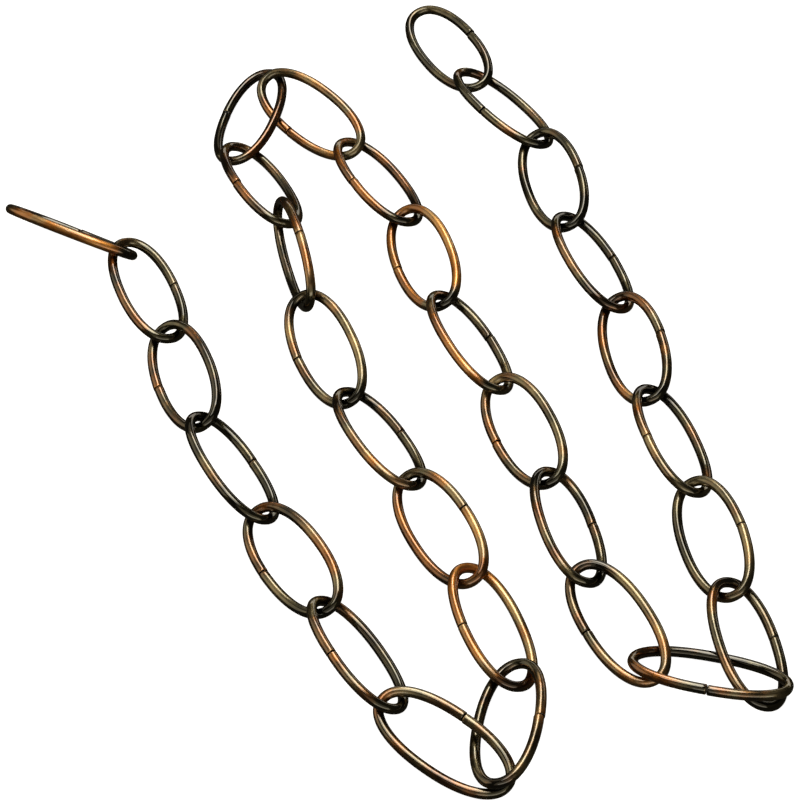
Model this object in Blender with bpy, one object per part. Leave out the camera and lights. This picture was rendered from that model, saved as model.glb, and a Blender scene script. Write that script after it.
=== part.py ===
"""A length of oval-link chain in copper-finished steel wire, laid on the floor in a loose zigzag.

Every link is one wire bent to an oval, its two ends meeting in an open butt joint on one side.
Lengths are millimetres in the constants and metres in the scene. The floor is at z = 0, and +Y is the back.
"""

import bpy
import numpy as np
from mathutils import Matrix

MM = 0.001

# The wire, and the oval it is bent to. An ellipse has power 2; the ends of these links are a little squarer.
WIRE = 2.45
LINK_LENGTH = 38.0
LINK_WIDTH = 17.0
OVAL_POWER = 2.2
BUTT_GAP = 0.25
HALF_LENGTH = (LINK_LENGTH - WIRE) / 2
HALF_WIDTH = (LINK_WIDTH - WIRE) / 2

# The meshing of one wire: the points along it, and the bevel's steps, which give a section of eight sides
STATIONS = 31
BEVEL_RESOLUTION = 2
SECTION_SIDES = 4 + 2 * BEVEL_RESOLUTION
# The section's corners stand out a little, so that its area is the round wire's
CORNER_RADIUS = WIRE / 2 * np.sqrt(2 * np.pi / SECTION_SIDES / np.sin(2 * np.pi / SECTION_SIDES))
# Half a side's turn of the section, which lays its flats, not its corners, against the floor and the other links
SECTION_TURN = np.pi / SECTION_SIDES

# How close two links come where one rests on the other
TOUCH_GAP = 0.3

# Where each link lies, from the free end at the back right along the chain to the free end at the left:
# x and y of its middle, its heading, its lean, and the side and place of its joint.
# Left and right are as seen from the front. The heading is the angle in degrees from +X to the link's front end.
# The lean is in degrees about the long axis, and a positive one lifts the right side.
# The joint is that many millimetres in front of the middle.
LINKS = [
    (13.0, 129.0, -63, 18, "right", -0.5),
    (27.0, 104.0, -54, -20, "left", 0.5),
    (39.5, 75.5, -79, 20, "right", 0.5),
    (48.5, 43.5, -70, -24, "right", -2.0),
    (57.5, 14.0, -82, 20, "right", -1.0),
    (65.0, -17.0, -76, -24, "left", 0.5),
    (73.0, -49.5, -77, 20, "right", 0.5),
    (78.5, -81.0, -80, -17, "right", -1.5),
    (70.0, -89.0, -18, -18, "left", 1.0),
    (49.5, -74.5, -64, 18, "left", -1.5),
    (39.5, -45.0, -80, -24, "right", -1.5),
    (30.0, -15.0, -72, 22, "left", -1.0),
    (17.0, 15.5, -69, -22, "right", -2.0),
    (5.5, 46.0, -76, 20, "left", -0.5),
    (-6.0, 75.5, -62, -20, "left", -0.5),
    (-23.5, 100.5, -47, 20, "left", -1.0),
    (-40.0, 102.5, -106, 12, "left", -1.5),
    (-36.0, 72.0, -66, -20, "left", 0.5),
    (-26.5, 43.0, -76, 79, "right", 1.0),
    (-18.5, 13.0, -70, 20, "left", -1.5),
    (-5.0, -16.5, -62, -16, "right", -1.5),
    (9.5, -46.5, -63, 22, "right", 0.0),
    (21.0, -75.5, -73, -18, "left", -0.5),
    (24.5, -103.5, -100, 20, "right", -0.5),
    (10.5, -108.5, -39, 18, "right", 0.0),
    (-10.0, -84.5, -63, -24, "left", 0.0),
    (-25.0, -55.0, -59, 22, "left", -2.0),
    (-39.5, -27.5, -61, -24, "right", -1.5),
    (-52.5, 2.0, -71, 20, "left", -1.5),
    (-62.5, 34.0, -69, -18, "right", -0.5),
    (-84.5, 55.0, -28, -43, "right", -1.0),
]

# Links that stand on edge or lean on such a link, held up by the neighbours that pass through them
HELD = (18, 19, 31)
# How many degrees a link's front end is raised at first, where the link beside it stands on edge
TILTS = {18: 4, 20: -11}

# The settling of the laid links on the floor and on each other
SETTLE_POINTS = 64
SINKING_STEPS = 200
LAST_STEPS = 10
ROUNDS = 10
DROP = 0.04
KEEP_PLACE = 0.02
KEEP_TURN = 0.02
KEEP_HELD_TURN = 0.30
# Turning inertia over mass of an oval ring, about its long axis, across it and through it
SPIN = np.array([27.0, 157.0, 184.0])
# Wires nearer to parallel than this are not followed further along for their nearest points
LEAST_CROSSING = 0.05


def oval(angles):
    """Points on the wire's centre line, from the tip at +x round by the right side, at +y."""
    c, s = np.cos(angles), np.sin(angles)
    x = HALF_LENGTH * np.sign(c) * np.abs(c) ** (2 / OVAL_POWER)
    y = HALF_WIDTH * np.sign(s) * np.abs(s) ** (2 / OVAL_POWER)
    return np.stack([x, y, 0 * angles], axis=1)


def laid_axes(heading, lean, tilt):
    """Columns are the long axis, the axis to the right side and the axis through the link."""
    h, l, t = np.radians([heading, lean, tilt])
    along = np.array([np.cos(h) * np.cos(t), np.sin(h) * np.cos(t), np.sin(t)])
    level = np.array([-np.sin(h), np.cos(h), 0.0])
    side = np.cos(l) * level + np.sin(l) * np.cross(along, level)
    return np.stack([along, side, np.cross(along, side)], axis=1)


def turned(axes, spins):
    """The axes after these small turns, each given as its axis times its angle in radians."""
    along = axes[:, :, 0] + np.cross(spins, axes[:, :, 0])
    side = axes[:, :, 1] + np.cross(spins, axes[:, :, 1])
    along /= np.linalg.norm(along, axis=1)[:, None]
    side -= np.sum(along * side, axis=1)[:, None] * along
    side /= np.linalg.norm(side, axis=1)[:, None]
    return np.stack([along, side, np.cross(along, side)], axis=2)


def lever(axes, arms, directions):
    """The turning effect, in each link's own axes, of pushes along these directions at the arms' ends."""
    return np.einsum("kji,kj->ki", axes, np.cross(arms, directions))


def give(axes, arms, directions):
    """How far a unit push at each arm's end moves that end."""
    effect = lever(axes, arms, directions)
    return 1.0 + np.sum(effect * effect / SPIN, axis=1)


def push(centres, axes, links, arms, steps):
    """Moves these rigid links by pushes of this size and direction at the arms' ends."""
    effect = lever(axes[links], arms, steps) / SPIN
    centres[links] += steps
    axes[links] = turned(axes[links], np.einsum("kij,kj->ki", axes[links], effect))


def nearest_on_lines(p, along_p, reach_p, q, along_q, reach_q):
    """The two lines' nearest points, each within its reach of p or q."""
    between = p - q
    mixed = np.sum(along_p * along_q, axis=1)
    below = np.maximum(1.0 - mixed * mixed, LEAST_CROSSING)
    on_p, on_q = np.sum(along_p * between, axis=1), np.sum(along_q * between, axis=1)
    s = np.clip((mixed * on_q - on_p) / below, -reach_p, reach_p)
    t = np.clip((on_q - mixed * on_p) / below, -reach_q, reach_q)
    return p + s[:, None] * along_p, q + t[:, None] * along_q


def part_neighbours(centres, axes, firsts, ring, way, reach):
    """Pushes each of these links and the next one apart, at their nearest point on each side of the next."""
    seconds = firsts + 1
    rows = np.arange(len(firsts))
    half = len(ring) // 2
    for side in (slice(0, half), slice(half, None)):
        wires = centres[firsts][:, None, :] + np.einsum("nj,kij->kni", ring, axes[firsts])
        others = centres[seconds][:, None, :] + np.einsum("nj,kij->kni", ring[side], axes[seconds])
        apart = wires[:, :, None, :] - others[:, None, :, :]
        squared = np.einsum("knmi,knmi->knm", apart, apart).reshape(len(firsts), -1)
        i, j = np.divmod(np.argmin(squared, axis=1), half)
        along_p = np.einsum("kij,kj->ki", axes[firsts], way[i])
        along_q = np.einsum("kij,kj->ki", axes[seconds], way[side][j])
        p, q = nearest_on_lines(wires[rows, i], along_p, reach[i], others[rows, j], along_q, reach[side][j])
        gap = np.linalg.norm(p - q, axis=1)
        direction = (p - q) / gap[:, None]
        arm_p, arm_q = p - centres[firsts], q - centres[seconds]
        short = np.maximum(WIRE + TOUCH_GAP - gap, 0.0)
        short /= give(axes[firsts], arm_p, direction) + give(axes[seconds], arm_q, direction)
        push(centres, axes, firsts, arm_p, short[:, None] * direction)
        push(centres, axes, seconds, arm_q, -short[:, None] * direction)


def lift_off_floor(centres, axes, ring):
    """Raises each link at its lowest point, where the wire would be under the floor."""
    links = np.arange(len(centres))
    heights = np.einsum("nj,kj->kn", ring, axes[:, 2, :])
    lowest = np.argmin(heights, axis=1)
    short = np.maximum(WIRE / 2 - centres[:, 2] - heights[links, lowest], 0.0)
    arms = np.einsum("kij,kj->ki", axes, ring[lowest])
    up = np.tile([0.0, 0.0, 1.0], (len(links), 1))
    push(centres, axes, links, arms, (short / give(axes, arms, up))[:, None] * up)


def keep_as_laid(centres, axes, laid_centres, laid_turns):
    """Draws the links back a little towards where they were laid."""
    centres[:, :2] += KEEP_PLACE * (laid_centres[:, :2] - centres[:, :2])
    off = sum(np.cross(axes[:, :, n], laid_turns[:, :, n]) for n in range(3)) / 2
    spins = KEEP_TURN * off * np.array([0.0, 0.0, 1.0])
    for link in HELD:
        spins[link - 1] = KEEP_HELD_TURN * off[link - 1]
    axes[:] = turned(axes, spins)


def settled():
    """The rest of the laid links: they sink, kept near where they were laid, until they touch."""
    ring = oval(2 * np.pi * np.arange(SETTLE_POINTS) / SETTLE_POINTS)
    way = np.roll(ring, -1, axis=0) - np.roll(ring, 1, axis=0)
    spacing = np.linalg.norm(way, axis=1)
    way /= spacing[:, None]
    reach = spacing / 4
    axes = np.array([
        laid_axes(heading, lean, TILTS.get(k + 1, 0))
        for k, (_, _, heading, lean, _, _) in enumerate(LINKS)
    ])
    low = np.einsum("nj,kj->kn", ring, axes[:, 2, :]).min(axis=1)
    centres = np.array([[x, y, 0.0] for x, y, _, _, _, _ in LINKS])
    centres[:, 2] = WIRE / 2 - low
    laid_centres, laid_turns = centres.copy(), axes.copy()
    odd, even = np.arange(0, len(LINKS) - 1, 2), np.arange(1, len(LINKS) - 1, 2)
    for step in range(SINKING_STEPS + LAST_STEPS):
        if step < SINKING_STEPS:
            centres[:, 2] -= DROP
            keep_as_laid(centres, axes, laid_centres, laid_turns)
        for _ in range(ROUNDS):
            part_neighbours(centres, axes, odd, ring, way, reach)
            part_neighbours(centres, axes, even, ring, way, reach)
            lift_off_floor(centres, axes, ring)
    return centres, axes


def ends_of_wire(side, offset):
    """The angles round the oval at which the wire starts and ends, either side of its joint."""
    share = (offset + np.array([-BUTT_GAP, BUTT_GAP]) / 2) / HALF_LENGTH
    angles = np.arccos(np.sign(share) * np.abs(share) ** (OVAL_POWER / 2))
    if side == "left":
        angles = -angles
    return angles.max(), angles.min() + 2 * np.pi


def wire_curve(name, side, offset):
    """One link's wire, bent to the oval in the link's own frame, with its two ends at the joint."""
    curve = bpy.data.curves.new(name, "CURVE")
    curve.dimensions = "3D"
    curve.fill_mode = "FULL"
    curve.bevel_depth = CORNER_RADIUS * MM
    curve.bevel_resolution = BEVEL_RESOLUTION
    curve.use_fill_caps = True
    line = oval(np.linspace(*ends_of_wire(side, offset), STATIONS))
    spline = curve.splines.new("POLY")
    spline.points.add(STATIONS - 1)
    for point, place in zip(spline.points, line * MM):
        point.co = (*place, 1.0)
        point.tilt = SECTION_TURN
    return curve


def antique_copper():
    """Copper plating on steel wire, darkened and rubbed back."""
    material = bpy.data.materials.new("antique_copper")
    material.use_nodes = True
    shader = material.node_tree.nodes["Principled BSDF"]
    shader.inputs["Base Color"].default_value = (0.23, 0.11, 0.06, 1.0)
    shader.inputs["Metallic"].default_value = 1.0
    shader.inputs["Roughness"].default_value = 0.3
    return material


def middle_of_base(links):
    """The middle of the base of the box round these objects."""
    graph = bpy.context.evaluated_depsgraph_get()
    points = []
    for link in links:
        solid = link.evaluated_get(graph)
        points += [solid.matrix_world @ vertex.co for vertex in solid.to_mesh().vertices]
    low, high = np.min(points, axis=0), np.max(points, axis=0)
    return np.array([(low[0] + high[0]) / 2, (low[1] + high[1]) / 2, low[2]])


def build():
    for obj in list(bpy.data.objects):
        bpy.data.objects.remove(obj, do_unlink=True)
    collection = bpy.data.collections.new("oval_link_chain")
    bpy.context.scene.collection.children.link(collection)
    chain = bpy.data.objects.new("chain", None)
    collection.objects.link(chain)
    material = antique_copper()
    links = []
    for (*_, side, offset), centre, axes in zip(LINKS, *settled()):
        name = f"link_{len(links) + 1:02d}"
        curve = wire_curve(name, side, offset)
        curve.materials.append(material)
        link = bpy.data.objects.new(name, curve)
        link.location = centre * MM
        link.rotation_euler = Matrix(axes).to_euler()
        link.parent = chain
        collection.objects.link(link)
        links.append(link)
    chain.location = -middle_of_base(links)


build()
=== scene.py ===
"""Looks for the length of oval-link chain in antique copper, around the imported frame."""

import bmesh
import bpy
import numpy as np
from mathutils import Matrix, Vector, noise

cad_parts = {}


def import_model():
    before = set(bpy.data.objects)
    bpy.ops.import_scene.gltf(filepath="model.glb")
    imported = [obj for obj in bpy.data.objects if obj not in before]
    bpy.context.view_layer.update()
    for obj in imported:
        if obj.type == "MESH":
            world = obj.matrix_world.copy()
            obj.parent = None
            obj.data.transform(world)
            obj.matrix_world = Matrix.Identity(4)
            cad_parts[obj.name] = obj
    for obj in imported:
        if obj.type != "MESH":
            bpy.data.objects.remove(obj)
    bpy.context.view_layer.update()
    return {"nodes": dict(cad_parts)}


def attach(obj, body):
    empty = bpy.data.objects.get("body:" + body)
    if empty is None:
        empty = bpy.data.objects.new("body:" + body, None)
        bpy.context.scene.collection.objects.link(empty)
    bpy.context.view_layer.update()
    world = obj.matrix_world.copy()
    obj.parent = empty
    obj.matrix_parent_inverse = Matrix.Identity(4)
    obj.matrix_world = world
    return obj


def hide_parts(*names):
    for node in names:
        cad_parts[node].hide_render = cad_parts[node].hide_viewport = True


MM = 0.001

# The link, as in the part's source, in millimetres
WIRE = 2.45
LINK_LENGTH = 38.0
LINK_WIDTH = 17.0
OVAL_POWER = 2.2
BUTT_GAP = 0.25
HALF_LENGTH = (LINK_LENGTH - WIRE) / 2
HALF_WIDTH = (LINK_WIDTH - WIRE) / 2

# The finer meshing of one wire, in its link's own axes: +x to the front end, +y to the right side and +z up.
# The step is in radians round the oval
STATIONS = 168
SECTION_SIDES = 20
SECTION_TURNS = 2 * np.pi * np.arange(SECTION_SIDES) / SECTION_SIDES
TANGENT_STEP = 0.003
UP = np.array([0.0, 0.0, 1.0])

# The wire's ends at the joint: how far they miss each other and over what length they bend. Then their
# rounded lips: by what share they are thinner, how long they are, and the steps to the extra sections there
MISFIT = 0.12
BEND_REACH = 3.0
LIP_SHARE = 0.12
LIP_LENGTH = 0.12
LIP_STEPS = (0.0035, 0.009)

# How far the copper is rubbed back through its dark finish, and how warm its brown is
BLACK, DARK, UMBER, BROWN, WORN, COPPER, BRIGHT = 0.0, 0.15, 0.27, 0.38, 0.50, 0.64, 0.90
COOL, OLIVE, SANDY, TAWNY, ORANGE, FOXY = -0.3, 0.05, 0.3, 0.5, 0.95, 1.3

# Each link's joint, as in the part's source, then how rubbed its left and right sides are and how warm, as
# seen from the front
LINKS = [
    ("right", -0.5, DARK, DARK, OLIVE, OLIVE),
    ("left", 0.5, UMBER, DARK, OLIVE, OLIVE),
    ("right", 0.5, DARK, DARK, OLIVE, OLIVE),
    ("right", -2.0, BROWN, DARK, TAWNY, OLIVE),
    ("right", -1.0, WORN, BROWN, ORANGE, OLIVE),
    ("left", 0.5, BROWN, UMBER, TAWNY, OLIVE),
    ("right", 0.5, DARK, WORN, OLIVE, OLIVE),
    ("right", -1.5, WORN, DARK, OLIVE, OLIVE),
    ("left", 1.0, BROWN, BLACK, TAWNY, OLIVE),
    ("left", -1.5, BROWN, COPPER, OLIVE, OLIVE),
    ("right", -1.5, BROWN, UMBER, TAWNY, OLIVE),
    ("left", -1.0, UMBER, BROWN, TAWNY, OLIVE),
    ("right", -2.0, COPPER, UMBER, ORANGE, OLIVE),
    ("left", -0.5, COPPER, BRIGHT, ORANGE, ORANGE),
    ("left", -0.5, WORN, DARK, FOXY, FOXY),
    ("left", -1.0, WORN, WORN, ORANGE, TAWNY),
    ("left", -1.5, BLACK, DARK, TAWNY, FOXY),
    ("left", 0.5, UMBER, DARK, ORANGE, OLIVE),
    ("right", 1.0, DARK, COPPER, OLIVE, ORANGE),
    ("left", -1.5, WORN, COPPER, OLIVE, OLIVE),
    ("right", -1.5, BROWN, DARK, TAWNY, OLIVE),
    ("right", 0.0, WORN, COPPER, FOXY, OLIVE),
    ("left", -0.5, COPPER, BRIGHT, ORANGE, OLIVE),
    ("right", -0.5, UMBER, WORN, OLIVE, TAWNY),
    ("right", 0.0, UMBER, UMBER, TAWNY, OLIVE),
    ("left", 0.0, BROWN, DARK, TAWNY, OLIVE),
    ("left", -2.0, UMBER, BROWN, OLIVE, TAWNY),
    ("right", -1.5, DARK, BLACK, OLIVE, OLIVE),
    ("left", -1.5, DARK, DARK, TAWNY, TAWNY),
    ("right", -0.5, UMBER, DARK, ORANGE, OLIVE),
    ("right", -1.0, COPPER, BLACK, ORANGE, TAWNY),
]

# The rub and warmth of each link's back and front ends, at its couplings, which are dark except on the links
# named here. The darkening there is partly the dark finish and partly painted shade where the links meet
DARK_AND_SHADED_BACK = (DARK, SANDY)
DARK_AND_SHADED_FRONT = (DARK, COOL)
RUBBED_BACKS = {
    5: (BROWN, FOXY),
    7: (UMBER, OLIVE),
    12: (UMBER, OLIVE),
    14: (WORN, FOXY),
    16: (BROWN, OLIVE),
    23: (COPPER, FOXY),
    25: (BROWN, TAWNY),
    27: (UMBER, TAWNY),
    31: (UMBER, TAWNY),
}
RUBBED_FRONTS = {
    4: (BROWN, ORANGE),
    10: (BROWN, OLIVE),
    16: (UMBER, OLIVE),
    22: (UMBER, FOXY),
    23: (UMBER, FOXY),
    24: (UMBER, TAWNY),
    25: (UMBER, OLIVE),
}

# Where these looks pass into each other: the sides within a share of the half width, and each end between two
# shares of the half length. The left side also grows warmer by so much towards the back: painted warm light,
# laid the same way on every link
SIDES_FADE = 0.6
BACK_FADE = (0.45, 0.92)
FRONT_FADE = (0.75, 0.97)
PAINTED_LIGHT_WARMING_FADE = (0.25, 0.7)
PAINTED_LIGHT_WARMING = 0.35

# How far in from a wire's ends the distance to them is marked, in millimetres, how much the drawn streaks are
# stretched along the wire, and what sets one link's streaks apart from the next link's
JOINT_REACH = 2.0
GRAIN_STRETCH = 0.12
GRAIN_SHIFT = 7.3

# The colours at rising rub, where the brown is coolest and where it is warmest
OLIVE_STOPS = [
    (0.0, (0.018, 0.015, 0.009)),
    (0.16, (0.060, 0.052, 0.025)),
    (0.42, (0.225, 0.180, 0.100)),
    (0.66, (0.415, 0.305, 0.152)),
    (0.88, (0.610, 0.410, 0.185)),
    (1.0, (0.760, 0.490, 0.220)),
]
ORANGE_STOPS = [
    (0.0, (0.022, 0.014, 0.008)),
    (0.16, (0.090, 0.038, 0.014)),
    (0.42, (0.330, 0.118, 0.026)),
    (0.66, (0.540, 0.200, 0.038)),
    (0.88, (0.740, 0.310, 0.068)),
    (1.0, (0.860, 0.400, 0.100)),
]

# The mottling: the scale, detail and roughness of each noise
CLOUDS = (85.0, 3.0, 0.5)
PATCHES = (330.0, 4.0, 0.6)
STREAKS = (2.6, 5.0, 0.65)
TINTS = (120.0, 2.0, 0.5)

# How far either side of its middle value each noise counts, and how much rub it adds or takes at most there.
# The tints add or take warmth
CLOUDS_SWING = (0.2, 0.30)
PATCHES_SWING = (0.2, 0.10)
STREAKS_SWING = (0.2, 0.12)
TINTS_SWING = (0.15, 0.7)

# The rub that the second end's lip gains and that the joint's faces lose: whole up to one distance from the
# wire's end, in millimetres, and nothing from another on
LIP_GAIN = (0.10, 0.32, 0.5)
FACE_LOSS = (0.02, 0.10, 1.0)

# The gloss: the roughness of the dark finish and of bare copper, the rub at which it is bare, the streaks'
# swing in roughness and the colour of the glancing light
DARK_ROUGHNESS = 0.17
BARE_ROUGHNESS = 0.40
BARE_RUB = 0.7
GLOSS_SWING = (0.2, 0.03)
SPECULAR_TINT = (0.30, 0.26, 0.20)

# The fine relief of the streaks: its strength, its height in millimetres and the patches' share of it. Then
# the lacquer over everything
RELIEF_STRENGTH = 0.05
RELIEF_HEIGHT = 0.06
PATCHES_RELIEF = 0.7
LACQUER_ROUGHNESS = 0.05
LACQUER_IOR = 1.7

# The camera: the point that it looks at, in the part's frame, how far from there it stands, in millimetres,
# at how many degrees above the floor, its lens and sensor, and the range in metres that it sees
LOOKED_AT = (6.30, -12.03, 0.07)
CAMERA_DISTANCE = 808.9
CAMERA_ELEVATION = 46.1
LENS = 149.4
SENSOR = 36.0
CLIPPING = (0.01, 10.0)

# The white ground, in metres, a little below the part so that the two don't meet
FLOOR_SIZE = 16.0
FLOOR_DROP = 0.0002
FLOOR_GREY = (0.6, 0.6, 0.6)
FLOOR_ROUGHNESS = 0.95
FLOOR_GLOW = 0.97

# The light: the glow of the room, and how far away the softboxes stand, in metres. Then each softbox's
# direction from the chain, its size in metres, its glow and its colour
WORLD_GLOW = 0.04
SOFTBOX_DISTANCE = 1.4
CREAM = (1.0, 0.89, 0.62)
CLEAR = (1.0, 0.955, 0.83)
SOFTBOXES = {
    "left": ((-0.92, 0.14, 0.36), (1.3, 1.0), 0.75, CREAM),
    "back": ((-0.25, 0.60, 0.75), (1.4, 1.0), 0.30, CREAM),
    "key": ((-0.03, 0.50, 0.85), (0.40, 1.05), 6.0, CLEAR),
    "top": ((-0.25, 0.10, 0.96), (0.60, 0.50), 2.7, CLEAR),
    "horizon": ((0.30, 0.92, 0.25), (1.8, 0.18), 1.6, CLEAR),
    "front": ((0.0, -0.80, 0.60), (2.2, 1.3), 0.30, CREAM),
    "low": ((0.08, -0.92, 0.39), (1.6, 0.42), 1.2, CLEAR),
}


def smooth(value, low, high):
    """Rises from 0 at low to 1 at high, with no corners."""
    t = np.clip((value - low) / (high - low), 0.0, 1.0)
    return t * t * (3 - 2 * t)


def pose_of(node):
    """A link's centre and axes, from the volume of its solid."""
    mesh = node.data
    mesh.calc_loop_triangles()
    points = np.array([v.co for v in mesh.vertices], float) / MM
    corners = points[np.array([t.vertices for t in mesh.loop_triangles])]
    base = corners.mean(axis=(0, 1))
    corners = corners - base
    volumes = np.linalg.det(corners) / 6
    sums = corners.sum(axis=1)
    centre = (volumes[:, None] * sums).sum(axis=0) / 4 / volumes.sum()
    spread = np.einsum("k,ki,kj->ij", volumes, sums, sums)
    spread += np.einsum("k,kni,knj->ij", volumes, corners, corners)
    spread = spread / 20 / volumes.sum() - np.outer(centre, centre)
    _, axes = np.linalg.eigh(spread)
    return base + centre, axes[:, ::-1]


def facing(axes):
    """The axes turned so that the first points to the link's front end and the third up."""
    along, through = axes[:, 0], axes[:, 2]
    along = along * -np.sign(along[1])
    through = through * np.sign(through[2])
    return np.stack([along, np.cross(through, along), through], axis=1)


def oval(angles):
    """Points on the wire's centre line, from the tip at +x round by the right side, at +y."""
    c, s = np.cos(angles), np.sin(angles)
    x = HALF_LENGTH * np.sign(c) * np.abs(c) ** (2 / OVAL_POWER)
    y = HALF_WIDTH * np.sign(s) * np.abs(s) ** (2 / OVAL_POWER)
    return np.stack([x, y, 0 * angles], axis=1)


def ends_of_wire(side, offset):
    """The angles round the oval at which the wire starts and ends, either side of its joint."""
    share = (offset + np.array([-BUTT_GAP, BUTT_GAP]) / 2) / HALF_LENGTH
    angles = np.arccos(np.sign(share) * np.abs(share) ** (OVAL_POWER / 2))
    if side == "left":
        angles = -angles
    return angles.max(), angles.min() + 2 * np.pi


def wire(number, side, offset):
    """One wire's centre line, its ends a little out of line at the joint, with its outward directions and the
    distance along it."""
    start, end = ends_of_wire(side, offset)
    lips = [start + step for step in LIP_STEPS] + [end - step for step in LIP_STEPS]
    angles = np.sort(np.concatenate([np.linspace(start, end, STATIONS), lips]))
    line = oval(angles)
    ahead = oval(angles + TANGENT_STEP) - oval(angles - TANGENT_STEP)
    ahead /= np.linalg.norm(ahead, axis=1)[:, None]
    outward = np.stack([ahead[:, 1], -ahead[:, 0], 0 * angles], axis=1)
    along = np.concatenate([[0.0], np.cumsum(np.linalg.norm(np.diff(line, axis=0), axis=1))])
    noise.seed_set(number)
    for from_end in (along, along[-1] - along):
        chance = np.array(noise.random_vector())
        near = np.exp(-from_end / BEND_REACH)[:, None]
        line = line + MISFIT * near * (chance[0] * outward + chance[1] * UP)
    return line, outward, along


def wire_mesh(name, centre, axes, line, outward, along):
    """One link's smooth round mesh around its wire's line, with rounded lips."""
    lip = np.minimum(along, along[-1] - along)
    radius = WIRE / 2 * (1 - LIP_SHARE * (1 - smooth(lip, 0.0, LIP_LENGTH)))
    across, up = np.cos(SECTION_TURNS), np.sin(SECTION_TURNS)
    ring = across[None, :, None] * outward[:, None, :] + up[None, :, None] * UP
    points = centre + (line[:, None, :] + radius[:, None, None] * ring) @ axes.T
    mesh = bmesh.new()
    rows = [[mesh.verts.new(point * MM) for point in section] for section in points]
    for row, after in zip(rows, rows[1:]):
        for n in range(SECTION_SIDES):
            m = (n + 1) % SECTION_SIDES
            mesh.faces.new((row[n], after[n], after[m], row[m])).smooth = True
    mesh.faces.new(rows[0])
    mesh.faces.new(reversed(rows[-1]))
    bmesh.ops.recalc_face_normals(mesh, faces=mesh.faces)
    data = bpy.data.meshes.new(name)
    mesh.to_mesh(data)
    mesh.free()
    return data


def levels(number, line, look):
    """How rubbed and how warm the copper is along one wire, with painted shade at the ends where the links
    meet and painted warm light on the left side towards the back.
    """
    left, right, left_warmth, right_warmth = look
    middle = HALF_WIDTH * SIDES_FADE
    share = smooth(line[:, 1], -middle, middle)
    reach = line[:, 0] / HALF_LENGTH
    rub_and_shade = left + (right - left) * share
    warmth = left_warmth + (right_warmth - left_warmth) * share
    # Painted warm light: every link's left side grows warmer towards the back
    warmth = warmth + PAINTED_LIGHT_WARMING * (1 - share) * smooth(-reach, *PAINTED_LIGHT_WARMING_FADE)
    # The ends: dark finish with painted shade where the links meet, or the rubbed look of the links named
    # above
    ends = [
        (smooth(-reach, *BACK_FADE), RUBBED_BACKS.get(number, DARK_AND_SHADED_BACK)),
        (smooth(reach, *FRONT_FADE), RUBBED_FRONTS.get(number, DARK_AND_SHADED_FRONT)),
    ]
    for fade, (end_rub_and_shade, end_warmth) in ends:
        rub_and_shade = rub_and_shade + (end_rub_and_shade - rub_and_shade) * fade
        warmth = warmth + (end_warmth - warmth) * fade
    return rub_and_shade, warmth


def paint(data, number, line, along, look):
    """Stores on one wire's mesh what its material reads: rub with the painted shade at the couplings, warmth,
    the ends' nearness and the grain.
    """
    rub_and_shade, warmth = levels(number, line, look)
    values = {
        "rub_and_shade": rub_and_shade,
        "warmth": warmth,
        "first_end": np.minimum(along, JOINT_REACH),
        "second_end": np.minimum(along[-1] - along, JOINT_REACH),
    }
    for name, value in values.items():
        layer = data.attributes.new(name, "FLOAT", "POINT")
        layer.data.foreach_set("value", np.repeat(value, SECTION_SIDES).astype(np.float32))
    around = np.tile(SECTION_TURNS, len(along))
    onward = np.repeat(along, SECTION_SIDES) * GRAIN_STRETCH + GRAIN_SHIFT * number
    grain = np.stack([np.cos(around), np.sin(around), onward], axis=1)
    layer = data.attributes.new("grain", "FLOAT_VECTOR", "POINT")
    layer.data.foreach_set("vector", grain.astype(np.float32).ravel())


class Nodes:
    """Short calls for building one material's nodes."""

    def __init__(self, material):
        material.use_nodes = True
        self.tree = material.node_tree
        self.shader = self.tree.nodes["Principled BSDF"]

    def add(self, kind, **settings):
        node = self.tree.nodes.new(kind)
        for key, value in settings.items():
            setattr(node, key, value)
        return node

    def link(self, source, target):
        self.tree.links.new(source, target)

    def attribute(self, name, output="Fac"):
        return self.add("ShaderNodeAttribute", attribute_name=name).outputs[output]

    def maths(self, operation, a, b, clamp=False):
        node = self.add("ShaderNodeMath", operation=operation, use_clamp=clamp)
        for socket, value in zip(node.inputs, (a, b)):
            if isinstance(value, (int, float)):
                socket.default_value = value
            else:
                self.link(value, socket)
        return node.outputs[0]

    def noise(self, vector, scale, detail, roughness):
        node = self.add("ShaderNodeTexNoise")
        node.inputs["Scale"].default_value = scale
        node.inputs["Detail"].default_value = detail
        node.inputs["Roughness"].default_value = roughness
        self.link(vector, node.inputs["Vector"])
        return node.outputs["Fac"]

    def ramp(self, factor, stops):
        node = self.add("ShaderNodeValToRGB")
        elements = node.color_ramp.elements
        while len(elements) < len(stops):
            elements.new(0.5)
        for element, (place, color) in zip(elements, stops):
            element.position = place
            element.color = (*color, 1.0)
        self.link(factor, node.inputs["Fac"])
        return node.outputs["Color"]

    def mixed(self, factor, first, second):
        node = self.add("ShaderNodeMix", data_type="RGBA")
        colors = [socket for socket in node.inputs if socket.type == "RGBA"]
        self.link(factor, node.inputs["Factor"])
        self.link(first, colors[0])
        self.link(second, colors[1])
        return [socket for socket in node.outputs if socket.type == "RGBA"][0]

    def spread(self, value, low, high, to_low, to_high):
        """The value's stretch from low to high, spread from to_low to to_high and level outside."""
        node = self.add("ShaderNodeMapRange", clamp=True)
        for socket, number in zip(node.inputs[1:5], (low, high, to_low, to_high)):
            socket.default_value = number
        self.link(value, node.inputs[0])
        return node.outputs[0]

    def swing(self, value, reach, size):
        """A noise's stretch as far as reach either side of its middle, made to add or take size at most."""
        return self.spread(value, 0.5 - reach, 0.5 + reach, -size, size)

    def fading(self, value, low, high, size):
        """The size where the value is up to low, falling to nothing at high."""
        return self.spread(value, low, high, size, 0.0)


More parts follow.
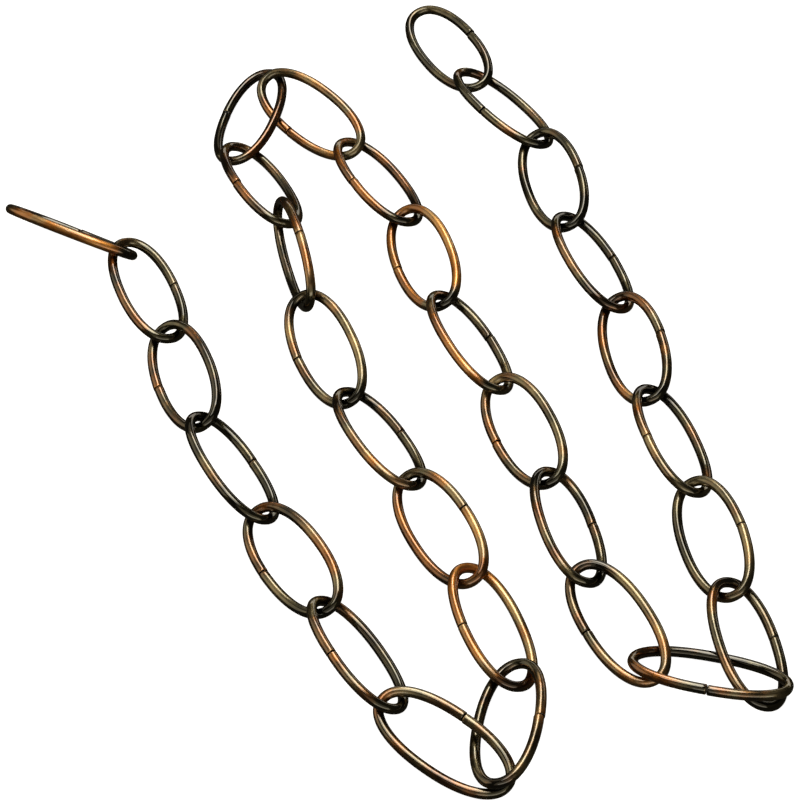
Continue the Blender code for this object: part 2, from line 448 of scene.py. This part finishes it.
def rubbed_back(nodes, clouds, patches, streaks):
    """How far the copper is rubbed back, with painted shade at the couplings: the marked rub and shade, the
    mottling, a pale lip and dark joint faces.
    """
    first, second = nodes.attribute("first_end"), nodes.attribute("second_end")
    rub_and_shade = nodes.attribute("rub_and_shade")
    rub_and_shade = nodes.maths("ADD", rub_and_shade, nodes.swing(clouds, *CLOUDS_SWING))
    rub_and_shade = nodes.maths("ADD", rub_and_shade, nodes.swing(patches, *PATCHES_SWING))
    rub_and_shade = nodes.maths("ADD", rub_and_shade, nodes.swing(streaks, *STREAKS_SWING))
    rub_and_shade = nodes.maths("ADD", rub_and_shade, nodes.fading(second, *LIP_GAIN))
    near = nodes.maths("MINIMUM", first, second)
    return nodes.maths("SUBTRACT", rub_and_shade, nodes.fading(near, *FACE_LOSS), clamp=True)


def antique_copper():
    """Copper plating under a dark brown finish, polished back unevenly, then lacquered, with painted shade at
    the couplings and painted warm light on the links' left sides.
    """
    material = bpy.data.materials.new("antique_copper_finish")
    nodes = Nodes(material)
    shader = nodes.shader
    place = nodes.add("ShaderNodeTexCoord").outputs["Object"]
    patches = nodes.noise(place, *PATCHES)
    streaks = nodes.noise(nodes.attribute("grain", "Vector"), *STREAKS)
    rub_and_shade = rubbed_back(nodes, nodes.noise(place, *CLOUDS), patches, streaks)
    tint = nodes.swing(nodes.noise(place, *TINTS), *TINTS_SWING)
    warmth = nodes.maths("ADD", nodes.attribute("warmth"), tint, clamp=True)
    color = nodes.mixed(warmth, nodes.ramp(rub_and_shade, OLIVE_STOPS), nodes.ramp(rub_and_shade, ORANGE_STOPS))
    nodes.link(color, shader.inputs["Base Color"])
    shader.inputs["Metallic"].default_value = 1.0
    shader.inputs["Specular Tint"].default_value = (*SPECULAR_TINT, 1.0)
    roughness = nodes.spread(rub_and_shade, 0.0, BARE_RUB, DARK_ROUGHNESS, BARE_ROUGHNESS)
    roughness = nodes.maths("ADD", roughness, nodes.swing(streaks, *GLOSS_SWING))
    nodes.link(roughness, shader.inputs["Roughness"])
    relief = nodes.add("ShaderNodeBump")
    relief.inputs["Strength"].default_value = RELIEF_STRENGTH
    relief.inputs["Distance"].default_value = RELIEF_HEIGHT * MM
    height = nodes.maths("ADD", streaks, nodes.maths("MULTIPLY", patches, PATCHES_RELIEF))
    nodes.link(height, relief.inputs["Height"])
    nodes.link(relief.outputs["Normal"], shader.inputs["Normal"])
    shader.inputs["Coat Weight"].default_value = 1.0
    shader.inputs["Coat Roughness"].default_value = LACQUER_ROUGHNESS
    shader.inputs["Coat IOR"].default_value = LACQUER_IOR
    return material


def add_link(number, name, node, material):
    """Puts one link's smooth wire around its solid."""
    side, offset, *look = LINKS[number - 1]
    centre, axes = pose_of(node)
    line, outward, along = wire(number, side, offset)
    data = wire_mesh(name + "_wire", centre, facing(axes), line, outward, along)
    paint(data, number, line, along, look)
    data.materials.append(material)
    piece = bpy.data.objects.new(name + "_wire", data)
    bpy.context.scene.collection.objects.link(piece)
    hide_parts(name)
    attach(piece, "root")


def aimed(obj, target):
    """Turns a light or a camera towards a point, with its top up."""
    direction = Vector(target) - obj.location
    obj.rotation_euler = direction.to_track_quat("-Z", "Y").to_euler()


def make_camera():
    """The camera in front of the chain and above it."""
    data = bpy.data.cameras.new("camera")
    data.lens = LENS
    data.sensor_width = SENSOR
    data.sensor_fit = "HORIZONTAL"
    data.clip_start, data.clip_end = CLIPPING
    camera = bpy.data.objects.new("camera", data)
    bpy.context.scene.collection.objects.link(camera)
    up, back = np.sin(np.radians(CAMERA_ELEVATION)), np.cos(np.radians(CAMERA_ELEVATION))
    target = Vector(LOOKED_AT) * MM
    camera.location = target + Vector((0.0, -back, up)) * CAMERA_DISTANCE * MM
    aimed(camera, target)
    bpy.context.scene.camera = camera


def make_floor():
    """The glowing white ground, which the metal doesn't mirror."""
    bpy.ops.mesh.primitive_plane_add(size=FLOOR_SIZE, location=(0.0, 0.0, -FLOOR_DROP))
    floor = bpy.context.object
    floor.name = "floor"
    material = bpy.data.materials.new("floor_paper")
    shader = Nodes(material).shader
    shader.inputs["Base Color"].default_value = (*FLOOR_GREY, 1.0)
    shader.inputs["Roughness"].default_value = FLOOR_ROUGHNESS
    shader.inputs["Emission Color"].default_value = (1.0, 1.0, 1.0, 1.0)
    shader.inputs["Emission Strength"].default_value = FLOOR_GLOW
    floor.data.materials.append(material)
    floor.visible_glossy = False
    floor.visible_diffuse = False


def add_softbox(name, direction, size, glow, color):
    """A softbox in that direction from the chain, facing it, as bright as its glow says."""
    data = bpy.data.lights.new(name, "AREA")
    data.shape = "RECTANGLE"
    data.size, data.size_y = size
    data.energy = glow * np.pi * size[0] * size[1]
    data.color = color
    light = bpy.data.objects.new(name, data)
    bpy.context.scene.collection.objects.link(light)
    light.location = Vector(direction).normalized() * SOFTBOX_DISTANCE
    aimed(light, (0.0, 0.0, 0.0))


def make_lights():
    """The softboxes and a faint glow all round."""
    for name, (direction, size, glow, color) in SOFTBOXES.items():
        add_softbox(name, direction, size, glow, color)
    world = bpy.data.worlds.new("studio")
    bpy.context.scene.world = world
    world.use_nodes = True
    background = world.node_tree.nodes["Background"]
    background.inputs["Color"].default_value = (*CREAM, 1.0)
    background.inputs["Strength"].default_value = WORLD_GLOW


def main():
    """Dresses every link, then sets up the camera, the ground and the light."""
    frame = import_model()
    material = antique_copper()
    for number, name in enumerate(sorted(frame["nodes"]), start=1):
        add_link(number, name, frame["nodes"][name], material)
    make_camera()
    make_floor()
    make_lights()
    bpy.context.scene.view_settings.view_transform = "Standard"


main()
